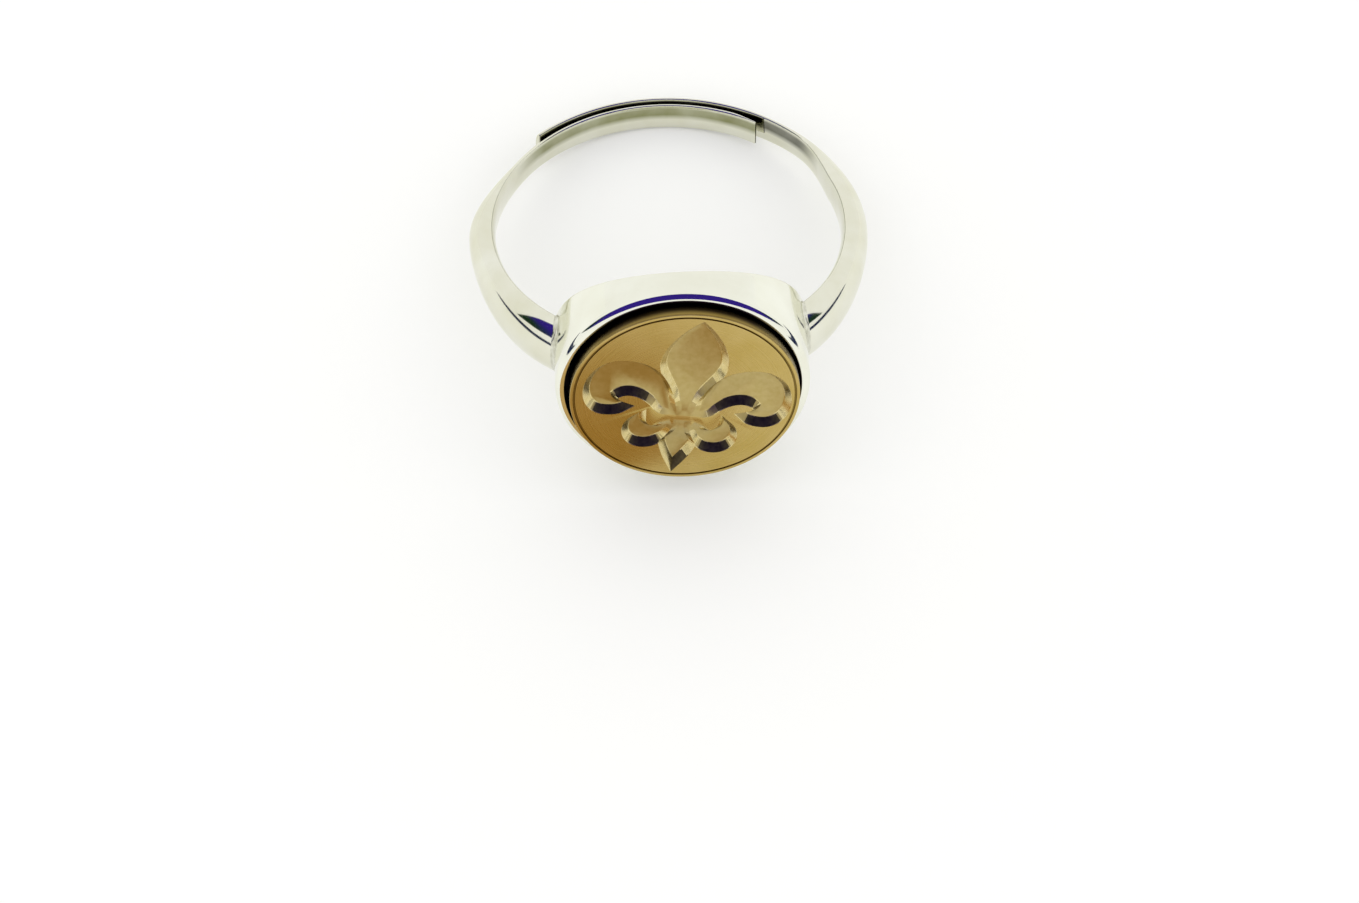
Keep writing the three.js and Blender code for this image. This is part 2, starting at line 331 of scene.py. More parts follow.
def solder_silver():
    """Silver solder, plated over: duller, greyer and lumpier than the buffed plate."""
    material, tree, shader = new_material("silver solder, plated over")
    where = add_node(tree, "ShaderNodeTexCoord").outputs["Object"]
    lumps = add_node(tree, "ShaderNodeTexNoise", {"Vector": where, "Scale": 1 / (0.4 * MM), "Detail": 3})
    ramp = add_node(tree, "ShaderNodeValToRGB", {"Fac": lumps.outputs["Fac"]})
    ramp.color_ramp.elements[0].position = 0.35
    ramp.color_ramp.elements[0].color = colour("#BDBCA8")
    ramp.color_ramp.elements[1].position = 0.65
    ramp.color_ramp.elements[1].color = colour("#E2E2D4")
    gloss = add_node(
        tree, "ShaderNodeMapRange", {"Value": lumps.outputs["Fac"], "To Min": 0.1, "To Max": 0.26}
    )
    relief = add_node(
        tree, "ShaderNodeBump", {"Height": lumps.outputs["Fac"], "Strength": 0.4, "Distance": 0.015 * MM}
    )
    tree.links.new(ramp.outputs["Color"], shader.inputs["Base Color"])
    tree.links.new(gloss.outputs["Result"], shader.inputs["Roughness"])
    tree.links.new(relief.outputs["Normal"], shader.inputs["Normal"])
    shader.inputs["Metallic"].default_value = 1
    return material


def turned_brass():
    """Brass faced off on a lathe: fine rings about the axis, satin, with painted shade darkening its side
    towards the cup.
    """
    material, tree, shader = new_material("brass, turned")
    head_point = head_coordinates(tree)
    radius = distance_from_axis(tree, head_point)
    # The tool leaves rings about 0.03 mm apart; they are drawn 0.07 mm apart so that they show.
    rings = add_node(
        tree,
        "ShaderNodeTexNoise",
        {"W": radius, "Scale": 1 / 0.07, "Detail": 2, "Roughness": 0.6},
        noise_dimensions="1D",
    )
    stain = add_node(
        tree, "ShaderNodeTexNoise", {"Vector": head_point, "Scale": 1 / (2.6 * MM), "Detail": 4}
    )
    mixed = add_node(
        tree, "ShaderNodeMix", {"Factor": 0.3, "A": stain.outputs["Fac"], "B": rings.outputs["Fac"]}
    )
    ramp = add_node(tree, "ShaderNodeValToRGB", {"Fac": mixed.outputs[0]})
    ramp.color_ramp.elements[0].position = 0.34
    ramp.color_ramp.elements[0].color = colour("#BAA158")
    ramp.color_ramp.elements[1].position = 0.66
    ramp.color_ramp.elements[1].color = colour("#C9B272")
    # Painted shade: the die's side darkens towards the cup, with a thin darker line just under the face's
    # edge.
    height = add_node(tree, "ShaderNodeSeparateXYZ", {"Vector": head_point}).outputs["Y"]
    level = add_node(
        tree,
        "ShaderNodeMapRange",
        {"Value": height, "From Min": -(DIE_FACE - 0.8) * MM, "From Max": -DIE_FACE * MM},
    )
    painted_shade = add_node(tree, "ShaderNodeValToRGB", {"Fac": level.outputs["Result"]})
    stops = painted_shade.color_ramp.elements
    stops[0].color = colour("#1F1C1C")
    stops[1].color = colour("#FFFFFF")
    for at, tint in ((0.45, "#6F6B5E"), (0.85, "#C9C4AE"), (0.95, "#9A917A"), (0.985, "#FFFFFF")):
        stops.new(at).color = colour(tint)
    shaded = add_node(
        tree,
        "ShaderNodeMix",
        {"Factor": 1.0, 6: ramp.outputs["Color"], 7: painted_shade.outputs["Color"]},
        data_type="RGBA",
        blend_type="MULTIPLY",
    )
    gloss = add_node(
        tree, "ShaderNodeMapRange", {"Value": rings.outputs["Fac"], "To Min": 0.24, "To Max": 0.32}
    )
    relief = add_node(
        tree, "ShaderNodeBump", {"Height": rings.outputs["Fac"], "Strength": 0.3, "Distance": 0.002 * MM}
    )
    tree.links.new(shaded.outputs[2], shader.inputs["Base Color"])
    tree.links.new(gloss.outputs["Result"], shader.inputs["Roughness"])
    tree.links.new(relief.outputs["Normal"], shader.inputs["Normal"])
    shader.inputs["Metallic"].default_value = 1
    return material


def milled_brass(name, dull, bright, gloss_range):
    """Brass cut by a small engraving mill, with short fine chatter."""
    material, tree, shader = new_material(name)
    head_point = head_coordinates(tree)
    chatter = add_node(
        tree, "ShaderNodeTexNoise", {"Vector": head_point, "Scale": 1 / (0.3 * MM), "Detail": 3}
    )
    ramp = add_node(tree, "ShaderNodeValToRGB", {"Fac": chatter.outputs["Fac"]})
    ramp.color_ramp.elements[0].position = 0.3
    ramp.color_ramp.elements[0].color = colour(dull)
    ramp.color_ramp.elements[1].position = 0.7
    ramp.color_ramp.elements[1].color = colour(bright)
    gloss = add_node(
        tree,
        "ShaderNodeMapRange",
        {"Value": chatter.outputs["Fac"], "To Min": gloss_range[0], "To Max": gloss_range[1]},
    )
    relief = add_node(
        tree, "ShaderNodeBump", {"Height": chatter.outputs["Fac"], "Strength": 0.3, "Distance": 0.006 * MM}
    )
    tree.links.new(ramp.outputs["Color"], shader.inputs["Base Color"])
    tree.links.new(gloss.outputs["Result"], shader.inputs["Roughness"])
    tree.links.new(relief.outputs["Normal"], shader.inputs["Normal"])
    shader.inputs["Metallic"].default_value = 1
    return material


def clear_epoxy():
    """Two-part epoxy, poured and set: glossy, honey-coloured, with small trapped bubbles."""
    material, tree, shader = new_material("epoxy, poured")
    where = add_node(tree, "ShaderNodeTexCoord").outputs["Object"]
    bubbles = add_node(tree, "ShaderNodeTexVoronoi", {"Vector": where, "Scale": 1 / (0.3 * MM)})
    ramp = add_node(tree, "ShaderNodeValToRGB", {"Fac": bubbles.outputs["Distance"]})
    ramp.color_ramp.elements[0].color = colour("#EFE3BE")
    ramp.color_ramp.elements[1].color = colour("#CDB67A")
    tree.links.new(ramp.outputs["Color"], shader.inputs["Base Color"])
    shader.inputs["Roughness"].default_value = 0.2
    shader.inputs["IOR"].default_value = 1.55
    return material


CUP_SILVER = buffed_silver()
ARM_SILVER = silver_painted_shade_and_reflection()
RECESS_SHADE = recess_shade_silver()
SOLDER = solder_silver()
TURNED = turned_brass()
MILLED_FLOOR = milled_brass("brass, milled floor", "#B6A265", "#C0AD74", (0.26, 0.34))
# Pocket walls that face sideways or down are painted lighter: a painted highlight.
MILLED_HIGHLIT = milled_brass("brass, milled, painted highlight", "#D2BF80", "#E2D29A", (0.16, 0.26))
# Ledges, the pocket walls that face up, get a painted dark reflection.
MILLED_DARKENED = milled_brass("brass, milled, painted dark reflection", "#4F4733", "#6F6547", (0.4, 0.55))
EPOXY = clear_epoxy()

# ---------------------------------------------------------------- mesh helpers


def finish_mesh(mesh, materials):
    """Smooth faces, sharp edges where two faces meet at more than SHARP_ANGLE, outward normals."""
    for material in materials:
        mesh.materials.append(material)
    shape = bmesh.new()
    shape.from_mesh(mesh)
    bmesh.ops.recalc_face_normals(shape, faces=shape.faces)
    for face in shape.faces:
        face.smooth = True
    limit = math.radians(SHARP_ANGLE)
    for edge in shape.edges:
        edge.smooth = len(edge.link_faces) == 2 and edge.calc_face_angle(0) < limit
    shape.to_mesh(mesh)
    shape.free()


def piece_from(name, mesh, materials):
    """An object at the origin from a mesh in the ring's own frame, in millimetres."""
    mesh.transform(ring_frame @ Matrix.Scale(MM, 4))
    mesh.name = name
    finish_mesh(mesh, materials)
    piece = bpy.data.objects.new(name, mesh)
    bpy.context.scene.collection.objects.link(piece)
    return piece


def mesh_of_rings(name, rings, first_point=None, last_point=None, closed=False):
    """A mesh whose rings of points are joined by quads, with a pole at an end that has one."""
    rings = np.array(rings, float)
    count, around = rings.shape[:2]
    points = rings.reshape(-1, 3).tolist()
    faces = []
    for i in range(count if closed else count - 1):
        for j in range(around):
            a = i * around + j
            b = i * around + (j + 1) % around
            after = ((i + 1) % count) * around
            faces.append((a, b, after + (j + 1) % around, after + j))
    for pole, row in ((first_point, 0), (last_point, count - 1)):
        if pole is not None:
            points.append(pole)
            for j in range(around):
                faces.append((row * around + j, row * around + (j + 1) % around, len(points) - 1))
    mesh = bpy.data.meshes.new(name)
    mesh.from_pydata(points, [], faces)
    return mesh


def quarter(centre, radius, start, end, steps=6):
    """Points of an arc in a profile, from one angle to another in degrees."""
    angles = np.radians(np.linspace(start, end, steps + 1))
    return [(centre[0] + radius * math.cos(a), centre[1] + radius * math.sin(a)) for a in angles]


def turned_rings(profile, shift=0.0):
    """Rings about the head's axis, or shifted from it, from radii and heights above the finger axis."""
    angles = np.linspace(0, 2 * math.pi, TURN_SEGMENTS, endpoint=False)
    return [
        [(CUP_OFFSET + shift + r * math.cos(a), -height, r * math.sin(a)) for a in angles]
        for r, height in profile
    ]


# ---------------------------------------------------------------- cup


def saddle_height(x):
    """Height of the cup's underside, which lies round the finger."""
    return math.sqrt(SADDLE_RADIUS**2 - x**2)


def make_cup():
    """The silver cup: recess, rounded rim, straight wall and an underside shaped to the finger."""
    floor = RIM_HEIGHT - RECESS_DEPTH
    inside = [(r, floor) for r in (1.5, 3, 4.5, 5.6)]
    inside += quarter((RECESS_RADIUS - EDGE_ROUND, floor + EDGE_ROUND), EDGE_ROUND, -90, 0)
    inside += [(RECESS_RADIUS, floor + share * RECESS_DEPTH) for share in (0.2, 0.5, 0.8)]
    edge = EDGE_ROUND * 0.8
    inside += quarter((RECESS_RADIUS + edge, RIM_HEIGHT - edge), edge, 180, 90)
    inside += quarter((CUP_RADIUS - RIM_ROUND, RIM_HEIGHT - RIM_ROUND), RIM_ROUND, 90, 0, 14)
    rings = turned_rings(inside)
    angles = np.linspace(0, 2 * math.pi, TURN_SEGMENTS, endpoint=False)
    wall_top = RIM_HEIGHT - RIM_ROUND
    # Each row is a radius, how far down the wall it is, and how far it stays off the saddle.
    rows = [(CUP_RADIUS, share, SADDLE_ROUND) for share in np.linspace(0, 1, 14)[1:]]
    for turn in np.radians(np.linspace(0, 90, 8)[1:]):
        inwards = SADDLE_ROUND * (1 - math.cos(turn))
        rows.append((CUP_RADIUS - inwards, 1, SADDLE_ROUND * (1 - math.sin(turn))))
    rows += [(radius, 1, 0) for radius in np.linspace(CUP_RADIUS - SADDLE_ROUND, 0, 22)[1:-1]]
    for radius, share, rise in rows:
        ring = []
        for a in angles:
            x = CUP_OFFSET + radius * math.cos(a)
            height = wall_top + (saddle_height(x) + rise - wall_top) * share
            ring.append((x, -height, radius * math.sin(a)))
        rings.append(ring)
    mesh = mesh_of_rings(
        "cup",
        rings,
        first_point=(CUP_OFFSET, -floor, 0),
        last_point=(CUP_OFFSET, -saddle_height(CUP_OFFSET), 0),
    )
    # Faces in the recess, round and under the die, take the painted shade.
    for face in mesh.polygons:
        reach = math.hypot(face.center.x - CUP_OFFSET, face.center.z)
        in_recess = reach < RECESS_RADIUS + 0.005 and -face.center.y > floor - 0.01
        face.material_index = 1 if in_recess else 0
    return piece_from("cup", mesh, [CUP_SILVER, RECESS_SHADE])


# ---------------------------------------------------------------- die

# The lily, with its stem upright, as floor outlines of its pockets. An outline is its start and its
# curves; a curve is two handles and an end.
LILY = {
    "centre petal": (
        (0, 4.93),
        ((0.6, 4.4), (1.35, 3.3), (1.35, 2.3)),
        ((1.35, 1.4), (0.3, 0.5), (0.1, -1)),
        ((0.03, -1), (-0.03, -1), (-0.1, -1)),
        ((-0.3, 0.5), (-1.35, 1.4), (-1.35, 2.3)),
        ((-1.35, 3.3), (-0.6, 4.4), (0, 4.93)),
    ),
    "side petal": (
        (0.82, -1),
        ((1.05, 0.5), (1.9, 1.84), (3.4, 1.84)),
        ((4.5, 1.84), (5, 0.85), (5, 0)),
        ((5, -0.8), (4.6, -1.34), (4.1, -1.34)),
        ((3.8, -1.34), (3.5, -1.28), (3.35, -1.12)),
        ((3.7, -1.02), (3.95, -0.75), (3.97, -0.43)),
        ((3.4, 0.5), (2.1, 0.3), (1.28, -0.85)),
        ((1.2, -0.93), (1.12, -0.98), (1.05, -1)),
        ((0.97, -1), (0.9, -1), (0.82, -1)),
    ),
    "lower curl": (
        (0.75, -2.1),
        ((0.95, -2.5), (1.35, -2.85), (1.85, -2.6)),
        ((2.1, -2.48), (2.25, -2.2), (2.27, -1.95)),
        ((2.5, -2.15), (2.62, -2.4), (2.6, -2.75)),
        ((2.55, -3.25), (2.2, -3.5), (1.85, -3.5)),
        ((1.45, -3.5), (1.2, -3.25), (1.07, -3)),
        ((0.95, -2.75), (0.8, -2.5), (0.75, -2.1)),
    ),
    "tail": (
        (0.1, -2.1),
        ((0.15, -2.6), (0.35, -3.05), (0.57, -3.45)),
        ((0.42, -3.95), (0.2, -4.4), (0, -4.75)),
        ((-0.2, -4.4), (-0.42, -3.95), (-0.57, -3.45)),
        ((-0.35, -3.05), (-0.15, -2.6), (-0.1, -2.1)),
        ((-0.03, -2.1), (0.03, -2.1), (0.1, -2.1)),
    ),
}
PAIRED = ("side petal", "lower curl")
STEM_MIDDLE = -1.5


def outline_points(outline, per_curve=14):
    """Points along an outline, counter-clockwise and without a repeat of the first one."""
    points = []
    here = np.array(outline[0], float)
    for first, second, end in outline[1:]:
        a, b, c = (np.array(p, float) for p in (first, second, end))
        for t in np.linspace(0, 1, per_curve, endpoint=False):
            points.append((1 - t) ** 3 * here + 3 * (1 - t) ** 2 * t * a + 3 * (1 - t) * t**2 * b + t**3 * c)
        here = c
    points = np.array(points)
    following = np.roll(points, -1, axis=0)
    area = np.sum(points[:, 0] * following[:, 1] - following[:, 0] * points[:, 1])
    return points if area > 0 else points[::-1]


def widened(points, by):
    """The outline moved outwards by a distance, with mitred corners."""
    before = points - np.roll(points, 1, axis=0)
    after = np.roll(points, -1, axis=0) - points
    before /= np.linalg.norm(before, axis=1)[:, None]
    after /= np.linalg.norm(after, axis=1)[:, None]
    out_before = np.stack([before[:, 1], -before[:, 0]], axis=1)
    out_after = np.stack([after[:, 1], -after[:, 0]], axis=1)
    mitre = out_before + out_after
    mitre /= np.maximum(1 + np.sum(out_before * out_after, axis=1), 0.4)[:, None]
    return points + mitre * by


def pocket_cutter(outline, mirrored):
    """A cutter whose pocket has a narrow fillet at its floor, drafted walls and a broken top edge."""
    points = outline_points(outline)
    if mirrored:
        points = points[::-1] * np.array((-1, 1))
    lean = math.radians(-LILY_LEAN)
    turn = np.array(((math.cos(lean), math.sin(lean)), (-math.sin(lean), math.cos(lean))))
    # Each level is how far it lies outside the floor's outline, and its height above the die's face.
    levels = (
        (0.01, -ENGRAVING_DEPTH),
        (0.045, -ENGRAVING_DEPTH + 0.01),
        (0.08, -ENGRAVING_DEPTH + 0.035),
        (ENGRAVING_DRAFT - 0.025, -0.025),
        (ENGRAVING_DRAFT + 0.015, 0.004),
        (ENGRAVING_DRAFT + 0.015, 0.3),
    )
    centre = CUP_OFFSET + DIE_SHIFT + LILY_SHIFT
    from_stem = np.hypot(points[:, 0], points[:, 1] - STEM_MIDDLE)
    share = np.clip((from_stem - RUN_OUT_START) / RUN_OUT_LENGTH, 0, 1)
    share = RUN_OUT_SHARE + (1 - RUN_OUT_SHARE) * share * share * (3 - 2 * share)
    rings = []
    for by, height in levels:
        moved = widened(points, by) @ turn
        heights = height * share if height < 0 else np.full(len(points), height)
        rings.append([(centre + u, -DIE_FACE - h, v) for (u, v), h in zip(moved, heights)])
    mesh = mesh_of_rings("cutter", rings)
    shape = bmesh.new()
    shape.from_mesh(mesh)
    shape.verts.ensure_lookup_table()
    around = len(points)
    shape.faces.new([shape.verts[j] for j in range(around)])
    shape.faces.new([shape.verts[(len(levels) - 1) * around + j] for j in range(around)])
    bmesh.ops.recalc_face_normals(shape, faces=shape.faces)
    shape.to_mesh(mesh)
    shape.free()
    cutter = bpy.data.objects.new("cutter", mesh)
    bpy.context.scene.collection.objects.link(cutter)
    return cutter


def evaluated_mesh(thing):
    """The object's mesh with its modifiers applied."""
    depsgraph = bpy.context.evaluated_depsgraph_get()
    return bpy.data.meshes.new_from_object(thing.evaluated_get(depsgraph))


def make_die():
    """The brass die: a turned blank with one fine ring round its face, and the lily cut into it."""
    inner, outer = GROOVE_RADIUS - GROOVE_WIDTH / 2, GROOVE_RADIUS + GROOVE_WIDTH / 2
    profile = [(r, DIE_UNDERSIDE) for r in (2, 4, DIE_RADIUS - EDGE_ROUND)]
    profile += quarter((DIE_RADIUS - EDGE_ROUND, DIE_UNDERSIDE + EDGE_ROUND), EDGE_ROUND, -60, 0, 3)
    shoulder = DIE_FACE - DIE_CHAMFER
    profile += [(DIE_RADIUS, DIE_UNDERSIDE + 0.5), (DIE_RADIUS, shoulder - 0.02)]
    profile += quarter((DIE_RADIUS - DIE_CHAMFER, shoulder), DIE_CHAMFER, 0, 90, 3)
    profile += [(outer + 0.01, DIE_FACE), (outer - 0.01, DIE_FACE - GROOVE_DEPTH)]
    profile += [(inner + 0.01, DIE_FACE - GROOVE_DEPTH), (inner - 0.01, DIE_FACE)]
    profile += [(GROOVE_RADIUS - 0.3, DIE_FACE)]
    mesh = mesh_of_rings(
        "die",
        turned_rings(profile, DIE_SHIFT),
        first_point=(CUP_OFFSET + DIE_SHIFT, -DIE_UNDERSIDE, 0),
        last_point=(CUP_OFFSET + DIE_SHIFT, -DIE_FACE, 0),
    )
    shape = bmesh.new()
    shape.from_mesh(mesh)
    bmesh.ops.recalc_face_normals(shape, faces=shape.faces)
    shape.to_mesh(mesh)
    shape.free()
    blank = bpy.data.objects.new("blank", mesh)
    bpy.context.scene.collection.objects.link(blank)
    cutters = []
    for name, outline in LILY.items():
        for mirrored in (False, True) if name in PAIRED else (False,):
            cutters.append(pocket_cutter(outline, mirrored))
    for cutter in cutters:
        cut = blank.modifiers.new("pocket", "BOOLEAN")
        cut.operation = "DIFFERENCE"
        cut.solver = "MANIFOLD"
        cut.object = cutter
    engraved = evaluated_mesh(blank)
    for helper in [blank, *cutters]:
        bpy.data.objects.remove(helper)
    engraved.materials.clear()
    lily_x = CUP_OFFSET + DIE_SHIFT + LILY_SHIFT
    for face in engraved.polygons:
        depth = DIE_FACE + face.center.y
        reach = math.hypot(face.center.x - CUP_OFFSET - DIE_SHIFT, face.center.z)
        in_pocket = 0.002 < depth < ENGRAVING_DEPTH + 0.01 and reach < inner - 0.01
        on_wall = in_pocket and abs(face.normal.y) < WALL_LEAN
        from_stem = math.hypot(face.center.x - lily_x, face.center.z - STEM_MIDDLE)
        at_tip = face.center.z < DARKENED_TIP and face.normal.x < 0
        faces_up = face.normal.z > LEDGE_UP or at_tip
        gets_painted_dark = on_wall and faces_up and from_stem > LEDGE_FROM_STEM
        gets_painted_highlight = on_wall and face.normal.z < HIGHLIGHT_UP
        # Walls facing up take the painted dark reflection, the other walls the painted highlight.
        face.material_index = 3 if gets_painted_dark else 2 if gets_painted_highlight else int(in_pocket)
    return piece_from("die", engraved, [TURNED, MILLED_FLOOR, MILLED_HIGHLIT, MILLED_DARKENED])


# ---------------------------------------------------------------- arms


def arm_tree():
    """Geometry nodes that sweep an arm's section round the finger, from the cup's wall to its tip."""
    tree = bpy.data.node_groups.new("arm sweep", "GeometryNodeTree")
    tree.interface.new_socket("Geometry", in_out="OUTPUT", socket_type="NodeSocketGeometry")
    sizes = (
        "Side",
        "End",
        "Step",
        "Step start",
        "Step end",
        "Leaf outer",
        "Thin end",
        "Tip thinning",
        "Tip start",
    )
    for name in sizes:
        tree.interface.new_socket(name, in_out="INPUT", socket_type="NodeSocketFloat")
    tree.interface.new_socket("Finish", in_out="INPUT", socket_type="NodeSocketMaterial")
    given = add_node(tree, "NodeGroupInput").outputs
    line = add_node(tree, "GeometryNodeCurvePrimitiveLine", {"End": (1, 0, 0)})
    path = add_node(
        tree, "GeometryNodeResampleCurve", {"Curve": line.outputs["Curve"], "Count": ARM_STATIONS}
    )
    circle = add_node(
        tree, "GeometryNodeCurvePrimitiveCircle", {"Resolution": SECTION_POINTS, "Radius": 1}
    )
    prism = add_node(
        tree,
        "GeometryNodeCurveToMesh",
        {
            "Curve": path.outputs["Curve"],
            "Profile Curve": circle.outputs["Curve"],
            "Fill Caps": True,
        },
    )
    position = add_node(tree, "GeometryNodeInputPosition")
    parts = add_node(tree, "ShaderNodeSeparateXYZ", {"Vector": position.outputs["Position"]}).outputs

    values = {"u": parts["X"], "v": parts["Y"], "w": parts["Z"]}
    values.update({name: given[name] for name in sizes})
    squared = 2 / INSIDE_SQUARENESS
    root_angle = math.degrees(math.asin((CUP_RADIUS - CUP_OFFSET) / SADDLE_RADIUS))
    side_outer = HOLE_RADIUS + SIDE_THICKNESS
    # Each row makes one value from numbers or from values above it.
    rows = (
        # The section: a half-elliptical crown outside, and a flatter inside with eased corners.
        ("is crown", "GREATER_THAN", "v", 0),
        ("crown", "MULTIPLY_ADD", "v", 1 - CROWN_START, CROWN_START),
        ("v size", "ABSOLUTE", "v"),
        ("v squared", "POWER", "v size", squared),
        ("inside", "MULTIPLY_ADD", "v squared", -CROWN_START, CROWN_START),
        ("crown extra", "SUBTRACT", "crown", "inside"),
        ("depth", "MULTIPLY_ADD", "is crown", "crown extra", "inside"),
        ("w size", "ABSOLUTE", "w"),
        ("w squared", "POWER", "w size", squared),
        ("w sign", "SIGN", "w"),
        ("w inside", "MULTIPLY", "w squared", "w sign"),
        ("w extra", "SUBTRACT", "w", "w inside"),
        ("across", "MULTIPLY_ADD", "is crown", "w extra", "w inside"),
        # Each line along the arm starts where it meets the cup's wall.
        ("root z", "MULTIPLY", "across", ROOT_WIDTH / 2),
        ("root radius", "MULTIPLY_ADD", "depth", ROOT_THICKNESS, SADDLE_RADIUS),
        ("root z squared", "MULTIPLY", "root z", "root z"),
        ("chord squared", "SUBTRACT", CUP_RADIUS**2, "root z squared"),
        ("chord", "SQRT", "chord squared"),
        ("root x", "MULTIPLY_ADD", "Side", CUP_OFFSET, "chord"),
        ("root sine", "DIVIDE", "root x", "root radius"),
        ("root turn", "ARCSINE", "root sine"),
        ("root", "DEGREES", "root turn"),
        ("span", "SUBTRACT", "End", "root"),
        ("angle", "MULTIPLY_ADD", "u", "span", "root"),
        # Sizes along the arm, by the angle from the head.
        ("inner", "EASED", "angle", root_angle, 80, SADDLE_RADIUS, HOLE_RADIUS),
        ("rise", "EASED", "angle", "Step start", "Step end", 0, "Step"),
        ("inner at", "ADD", "inner", "rise"),
        ("arm thickness", "EASED", "angle", root_angle, 90, ROOT_THICKNESS, SIDE_THICKNESS),
        ("arm outer", "ADD", "inner", "arm thickness"),
        ("to leaf", "SUBTRACT", "Leaf outer", side_outer),
        ("leaf change", "EASED", "angle", 90, "Thin end", 0, "to leaf"),
        ("thin outer", "ADD", "arm outer", "leaf change"),
        ("tip change", "EASED", "angle", "Tip start", "End", 0, "Tip thinning"),
        ("outer", "SUBTRACT", "thin outer", "tip change"),
        ("arm width", "EASED", "angle", root_angle, 90, ROOT_WIDTH, SIDE_WIDTH),
        ("leaf narrowing", "EASED", "angle", 90, 140, 0, LEAF_WIDTH - SIDE_WIDTH),
        ("width", "ADD", "arm width", "leaf narrowing"),
        # The point in the ring's own frame.
        ("thickness", "SUBTRACT", "outer", "inner at"),
        ("radius", "MULTIPLY_ADD", "depth", "thickness", "inner at"),
        ("whole height", "MULTIPLY", "across", "width"),
        ("height", "MULTIPLY", "whole height", 0.5),
        ("turn", "RADIANS", "angle"),
        ("sine", "SINE", "turn"),
        ("cosine", "COSINE", "turn"),
        ("out", "MULTIPLY", "radius", "sine"),
        ("x", "MULTIPLY", "out", "Side"),
        ("back", "MULTIPLY", "radius", "cosine"),
        ("y", "MULTIPLY", "back", -1),
    )
    for name, operation, *operands in rows:
        operands = [values.get(operand, operand) for operand in operands]
        if operation == "EASED":
            keys = ("Value", "From Min", "From Max", "To Min", "To Max")
            settings = {"interpolation_type": "SMOOTHSTEP"}
            made = add_node(tree, "ShaderNodeMapRange", dict(zip(keys, operands)), **settings)
            values[name] = made.outputs["Result"]
        else:
            made = add_node(tree, "ShaderNodeMath", dict(enumerate(operands)), operation=operation)
            values[name] = made.outputs[0]
    target = add_node(
        tree, "ShaderNodeCombineXYZ", {"X": values["x"], "Y": values["y"], "Z": values["height"]}
    )
    moved = add_node(
        tree,
        "GeometryNodeSetPosition",
        {"Geometry": prism.outputs["Mesh"], "Position": target.outputs["Vector"]},
    )
    real = add_node(tree, "GeometryNodeRealizeInstances", {"Geometry": moved.outputs["Geometry"]})
    finished = add_node(
        tree,
        "GeometryNodeSetMaterial",
        {"Geometry": real.outputs["Geometry"], "Material": given["Finish"]},
    )
    add_node(tree, "NodeGroupOutput", {"Geometry": finished.outputs["Geometry"]})
    return tree


def sweep_arm(tree, sizes):
    """Runs the sweep with these sizes and returns its mesh, in the ring's own frame."""
    holder = bpy.data.objects.new("arm", bpy.data.meshes.new("arm"))
    bpy.context.scene.collection.objects.link(holder)
    modifier = holder.modifiers.new("sweep", "NODES")
    modifier.node_group = tree
    for item in tree.interface.items_tree:
        if item.in_out == "INPUT":
            modifier[item.identifier] = sizes[item.name]
    mesh = evaluated_mesh(holder)
    bpy.data.objects.remove(holder)
    return mesh


def make_fillet(name, mesh):
    """Solder round the arm's root: a concave fillet between the arm and the cup's wall."""
    mesh.update()
    loop = np.array([mesh.vertices[j].co for j in range(SECTION_POINTS)], float)
    following = np.array([mesh.vertices[j + SECTION_POINTS].co for j in range(SECTION_POINTS)], float)
    along = following - loop
    along /= np.linalg.norm(along, axis=1)[:, None]
    forward = np.roll(loop, -1, axis=0) - np.roll(loop, 1, axis=0)
    away = np.cross(forward, along)
    away /= np.linalg.norm(away, axis=1)[:, None]
    middle = loop.mean(axis=0)
    if np.sum((loop - middle) * away) < 0:
        away = -away
    axis = np.array((CUP_OFFSET, 0, 0))
    wall = loop * np.array((1, 0, 1)) - axis
    wall /= np.linalg.norm(wall, axis=1)[:, None]
    spread = away - wall * np.sum(away * wall, axis=1)[:, None]
    spread /= np.linalg.norm(spread, axis=1)[:, None]
    thin = SOLDER_RADIUS * THIN_SOLDER_SHARE
    radius = np.where(spread[:, 1] > TOWARDS_FINGER, thin, SOLDER_RADIUS)[:, None]
    for _ in range(6):
        radius = (np.roll(radius, 1, axis=0) + 2 * radius + np.roll(radius, -1, axis=0)) / 4
    rows = [loop - spread * SOLDER_SINK * 2 - wall * SOLDER_SINK]
    for turn in np.radians(np.linspace(0, 90, 9)):
        out = 1 - math.sin(turn)
        off = 1 - math.cos(turn)
        point = loop + along * radius * out + spread * (radius * off - SOLDER_SINK * out)
        flat = point * np.array((1, 0, 1)) - axis
        reach = np.linalg.norm(flat, axis=1)[:, None]
        wanted = CUP_RADIUS + (reach - CUP_RADIUS) * (1 - off) - SOLDER_SINK * off
        point = point + flat / reach * (wanted - reach)
        rows.append(point)
    return piece_from(name, mesh_of_rings(name, rings=rows, closed=True), [SOLDER])


